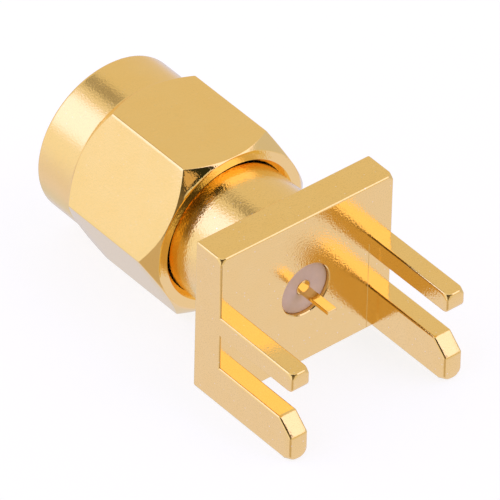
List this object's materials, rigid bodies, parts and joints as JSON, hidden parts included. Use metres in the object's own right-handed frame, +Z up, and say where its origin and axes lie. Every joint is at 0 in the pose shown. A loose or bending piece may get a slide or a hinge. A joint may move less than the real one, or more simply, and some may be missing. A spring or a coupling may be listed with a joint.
{
  "type": "sma connector",
  "caption": "Gold plated coaxial plug with a pin contact and a hexagonal coupling nut, with a square flange and legs that straddle the edge of a printed board.",
  "frame": {"origin": "on the connector's axis, in the flange's rear face, which the board's edge butts against", "axes": "+Y along the connector's axis, out of the mating face; +Z up, so the board lies level behind the flange with the solder blade on its top face; +X to the right when the flange's rear face is seen from behind"},
  "size_m": [0.0096, 0.0184, 0.008],
  "materials": {
    "body_gold": "satin gold plate over machined brass",
    "nut_gold": "bright gold plate over machined brass",
    "ptfe": "waxy white fluoropolymer",
    "contact_gold": "bright gold plate over beryllium copper",
    "ring_bronze": "plain spring bronze",
    "silicone": "matte silicone rubber"
  },
  "bodies": {
    "body": {"connector_body": "body_gold", "insulator": "ptfe", "centre_contact": "contact_gold", "retaining_ring": "ring_bronze", "gasket": "silicone"},
    "nut": {"coupling_nut": "nut_gold"}
  },
  "joints": [
    {"name": "nut_spin", "type": "hinge", "parent": "body", "child": "nut", "pos_m": [0, 0.0071, 0], "axis": [0, 1, 0], "continuous": true}
  ]
}
